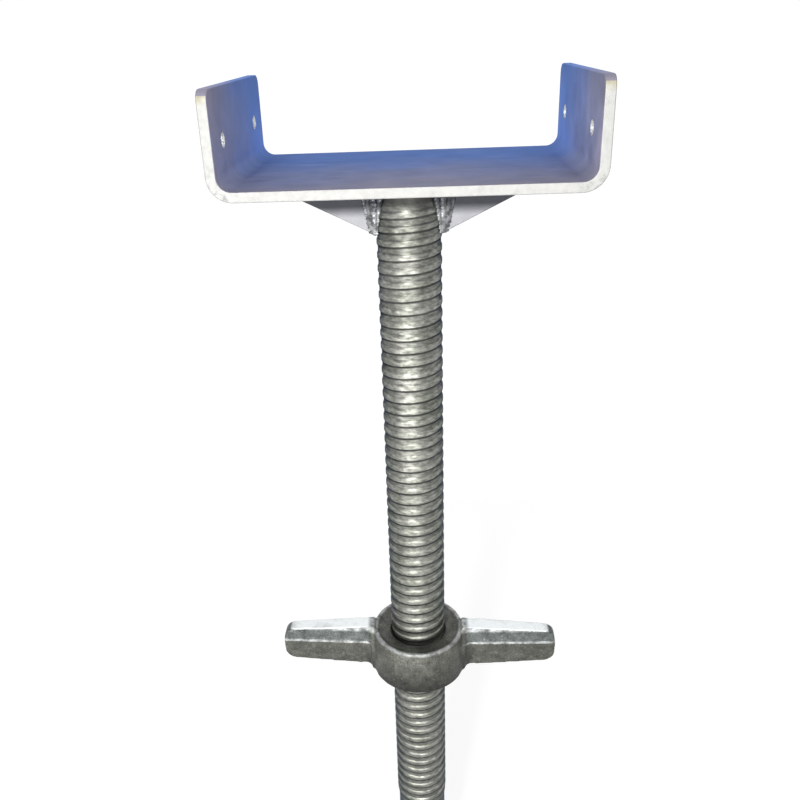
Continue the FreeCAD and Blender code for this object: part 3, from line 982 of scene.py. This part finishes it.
class JACK_OT_wing_nut(bpy.types.Operator):
    """Casts the wing nut: a collar with a dished mouth and two drafted wings under one skin"""

    bl_idname = "jack.wing_nut"
    bl_label = "Wing nut"

    def collar(self, bm, sizes, top, bottom):
        """Spins the collar's section round the rod's axis."""
        dish = top - sizes.lip_height
        lip = sizes.rim_radius - sizes.lip_width
        section = [
            (sizes.bore_radius, bottom),
            (sizes.skirt_radius - sizes.foot_chamfer, bottom),
            (sizes.skirt_radius, bottom + sizes.foot_chamfer),
            (sizes.skirt_radius, top - sizes.parting_below_top),
            (sizes.rim_radius, dish),
            (sizes.rim_radius - sizes.lip_height, top),
            (lip, top),
            (lip - sizes.lip_height, dish),
            (sizes.bore_radius, dish - sizes.dish_depth),
        ]
        verts, edges = closed_path(bm, [(radius, 0.0, z) for radius, z in section])
        bmesh.ops.spin(
            bm,
            geom=[*verts, *edges],
            cent=(0, 0, 0),
            axis=(0, 0, 1),
            angle=FULL_TURN,
            steps=120,
            use_merge=True,
            use_duplicate=False,
        )

    def wing_section(self, sizes, top, x, flare):
        """Corners of a wing's section at a distance from the rod, made wider by the root's flare."""
        along = x / (sizes.wing_span / 2)
        parting = top - sizes.parting_below_top
        upper = top + sizes.wing_rise + (-sizes.wing_drop - sizes.wing_rise) * along
        lower = upper - sizes.root_depth - (sizes.tip_depth - sizes.root_depth) * along
        thickness = sizes.root_thickness + (sizes.tip_thickness - sizes.root_thickness) * along
        half = thickness / 2 + flare
        inner = half - sizes.parting_step
        top_half = inner - flare - (upper - parting) * math.tan(sizes.upper_draft)
        low_half = half - (parting - lower) * math.tan(sizes.lower_draft)
        right = [(low_half, lower - 0.4 * flare), (half, parting), (inner, parting), (top_half, upper)]
        left = [(-y, z) for y, z in reversed(right)]
        return [Vector((x, y, z)) for y, z in right + left]

    def wing(self, bm, sizes, top):
        """Bridges one drafted wing along +X, flared where it meets the collar, and returns its vertices."""
        before = set(bm.verts)
        stations = [(sizes.rim_radius - sizes.lip_height, sizes.root_flare)]
        flare_steps = 5
        for step in range(flare_steps + 1):
            turned = math.pi / 2 * step / flare_steps
            x = sizes.skirt_radius + sizes.root_flare * (1 - math.cos(turned))
            stations.append((x, sizes.root_flare * (1 - math.sin(turned))))
        stations.append((sizes.wing_span / 2, 0.0))
        loops = []
        for x, flare in stations:
            _, edges = closed_path(bm, self.wing_section(sizes, top, x, flare))
            loops.append(edges)
        for first, second in zip(loops, loops[1:]):
            bmesh.ops.bridge_loops(bm, edges=first + second)
        for loop in (loops[0], loops[-1]):
            bmesh.ops.contextual_create(bm, geom=loop)
        level = [edge for edge in loops[-1] if abs(edge.verts[0].co.z - edge.verts[1].co.z) < 0.01 * MM]
        ends = sorted(level, key=lambda edge: edge.verts[0].co.z)
        round_sharp_edges(bm, [ends[0], ends[-1]], sizes.tip_radius, 8)
        return [vert for vert in bm.verts if vert not in before]

    def roughen(self, skin, sizes):
        """Smooths the casting's skin, most at the wing roots, and gives it lumps and grit."""
        root_start = 30.5 * MM
        root_end = 42 * MM
        root_half_width = 16 * MM
        skin_inset = 0.1 * MM
        smooth(skin, skin.verts, 2)

        def at_root(vert):
            radius = math.hypot(vert.co.x, vert.co.y)
            across = abs(vert.co.y * math.cos(sizes.turn) - vert.co.x * math.sin(sizes.turn))
            return root_start < radius < root_end and across < root_half_width

        smooth(skin, [vert for vert in skin.verts if at_root(vert)], 14)
        for vert in skin.verts:
            lumps = noise.noise(vert.co * 160.0) * sizes.lump_height
            grit = noise.noise(vert.co * 700.0) * sizes.grit_height
            vert.co += vert.normal * (lumps + grit - skin_inset)

    def execute(self, context):
        sizes = settings(context).nut
        bottom = mounts["tube_seat"]["pos_m"][2]
        top = bottom + sizes.height
        bm = bmesh.new()
        self.collar(bm, sizes, top, bottom)
        for turned in (sizes.turn, sizes.turn + math.pi):
            verts = self.wing(bm, sizes, top)
            bmesh.ops.rotate(bm, verts=verts, cent=(0, 0, 0), matrix=Matrix.Rotation(turned, 3, "Z"))
        tidy_skin(bm)
        skin = skin_solids(bm, sizes.grain)
        self.roughen(skin, sizes)
        tidy_skin(skin)
        make_piece("cast_wing_nut", skin, [cast_finish(sizes, top)], "nut", ["wing_nut"], 180.0)
        return {"FINISHED"}


def place_camera(context, sizes):
    """Stands the camera where the picture was taken from, with its tilt, roll and framing."""
    forward = Vector((
        math.sin(sizes.yaw) * math.cos(sizes.pitch),
        math.cos(sizes.yaw) * math.cos(sizes.pitch),
        -math.sin(sizes.pitch),
    ))
    level_right = Vector((math.cos(sizes.yaw), -math.sin(sizes.yaw), 0.0))
    level_down = forward.cross(level_right)
    right = math.cos(sizes.roll) * level_right + math.sin(sizes.roll) * level_down
    down = math.cos(sizes.roll) * level_down - math.sin(sizes.roll) * level_right
    camera = bpy.data.cameras.new("camera")
    camera.sensor_width = 36.0
    camera.lens = sizes.focal_pixels * camera.sensor_width / PHOTO_WIDTH
    camera.shift_x = (PHOTO_WIDTH / 2 - sizes.centre_pixels[0]) / PHOTO_WIDTH
    camera.shift_y = (sizes.centre_pixels[1] - PHOTO_WIDTH / 2) / PHOTO_WIDTH
    camera.clip_start = 10 * MM
    viewer = bpy.data.objects.new("camera", camera)
    axes = Matrix((right, -down, -forward)).transposed().to_4x4()
    viewer.matrix_world = Matrix.Translation(Vector(sizes.camera_place)) @ axes
    context.scene.collection.objects.link(viewer)
    context.scene.camera = viewer


def place_light(context, name, place, width, height, tint, watts):
    """A soft light that faces the lamps' target."""
    light = bpy.data.lights.new(name, "AREA")
    light.shape = "RECTANGLE"
    light.size = width
    light.size_y = height
    light.energy = watts
    light.color = tint
    lamp = bpy.data.objects.new(name, light)
    lamp.location = place
    lamp.rotation_euler = (Vector(LAMP_TARGET) - Vector(place)).to_track_quat("-Z", "Y").to_euler()
    context.scene.collection.objects.link(lamp)


def seen_or_mirrored(tree):
    """1 for rays from the camera and for mirrored or refracted ones, 0 for the rest."""
    path = add_node(tree, "ShaderNodeLightPath").outputs
    mirrored = calculate(tree, "MAXIMUM", path["Is Glossy Ray"], path["Is Transmission Ray"])
    return calculate(tree, "MAXIMUM", path["Is Camera Ray"], mirrored)


def light_room(context, sizes):
    """A white background for the eye and the metal, and a dimmer room for the light it gives."""
    world = bpy.data.worlds.new("room")
    world.use_nodes = True
    tree = world.node_tree
    tree.nodes.clear()
    seen = seen_or_mirrored(tree)
    dim = add_node(tree, "ShaderNodeBackground", {"Color": (1, 1, 1, 1), "Strength": sizes.fill_strength})
    white = add_node(tree, "ShaderNodeBackground", {"Color": (1, 1, 1, 1), "Strength": 1.0})
    mixed = add_node(tree, "ShaderNodeMixShader", {0: seen, 1: dim.outputs[0], 2: white.outputs[0]})
    add_node(tree, "ShaderNodeOutputWorld", {"Surface": mixed.outputs["Shader"]})
    context.scene.world = world


def floor_finish(sizes):
    """A pale floor that looks white and keeps a faint shadow: its glow makes up for the lamps' fall-off."""
    material, tree, place, _ = start_material("pale_floor")
    seen = seen_or_mirrored(tree)
    matt = add_node(tree, "ShaderNodeBsdfDiffuse", {"Color": (*sizes.floor_colour, 1.0)})
    faint = add_node(tree, "ShaderNodeBsdfDiffuse", {"Color": (*sizes.shadow_colour, 1.0)})
    away = add_node(tree, "ShaderNodeVectorMath", {0: place}, operation="LENGTH").outputs["Value"]
    growth = times(tree, calculate(tree, "POWER", away, 2.0), sizes.glow_growth)
    dip = calculate(tree, "DIVIDE", sizes.glow_dip, calculate(tree, "ADD", growth, 1.0))
    strength = calculate(tree, "SUBTRACT", sizes.floor_glow, dip)
    glow = add_node(tree, "ShaderNodeEmission", {"Color": (1, 1, 1, 1), "Strength": strength})
    white = add_node(tree, "ShaderNodeAddShader", {0: faint.outputs[0], 1: glow.outputs[0]})
    mixed = add_node(tree, "ShaderNodeMixShader", {0: seen, 1: matt.outputs[0], 2: white.outputs[0]})
    add_node(tree, "ShaderNodeOutputMaterial", {"Surface": mixed.outputs["Shader"]})
    return material


class JACK_OT_stage(bpy.types.Operator):
    """Sets the camera, the lights and the pale floor"""

    bl_idname = "jack.stage"
    bl_label = "Stage"

    def execute(self, context):
        sizes = settings(context).stage
        context.scene.view_settings.view_transform = "Standard"
        place_camera(context, sizes)
        light_room(context, sizes)
        for name, place, width, height, tint in LAMPS:
            place_light(context, name, place, width, height, tint, getattr(sizes, f"{name}_power"))
        bm = bmesh.new()
        bmesh.ops.create_grid(bm, x_segments=1, y_segments=1, size=sizes.floor_reach)
        floor = add_object("floor", bm)
        floor.data.materials.append(floor_finish(sizes))
        return {"FINISHED"}


class JackSettings(bpy.types.PropertyGroup):
    """All settings of the jack"""

    saddle: PointerProperty(type=SaddleSettings)
    rod: PointerProperty(type=RodSettings)
    weld: PointerProperty(type=WeldSettings)
    nut: PointerProperty(type=NutSettings)
    stage: PointerProperty(type=StageSettings)


class JACK_PT_pieces(bpy.types.Panel):
    """Lists the pieces of the jack"""

    bl_label = "U-head jack"
    bl_idname = "JACK_PT_pieces"
    bl_space_type = "VIEW_3D"
    bl_region_type = "UI"
    bl_category = "Jack"

    def draw(self, context):
        for operator in operators:
            self.layout.operator(operator.bl_idname)


operators = (
    JACK_OT_saddle,
    JACK_OT_gussets,
    JACK_OT_rod,
    JACK_OT_welds,
    JACK_OT_wing_nut,
    JACK_OT_stage,
)
classes = (
    SaddleSettings,
    RodSettings,
    WeldSettings,
    NutSettings,
    StageSettings,
    JackSettings,
    *operators,
    JACK_PT_pieces,
)


def register():
    for item in classes:
        bpy.utils.register_class(item)
    bpy.types.Scene.u_head_jack = PointerProperty(type=JackSettings)


def unregister():
    del bpy.types.Scene.u_head_jack
    for item in reversed(classes):
        bpy.utils.unregister_class(item)


def main():
    register()
    bpy.ops.jack.saddle()
    bpy.ops.jack.gussets()
    bpy.ops.jack.rod()
    bpy.ops.jack.welds()
    bpy.ops.jack.wing_nut()
    bpy.ops.jack.stage()


if __name__ == "__main__":
    main()
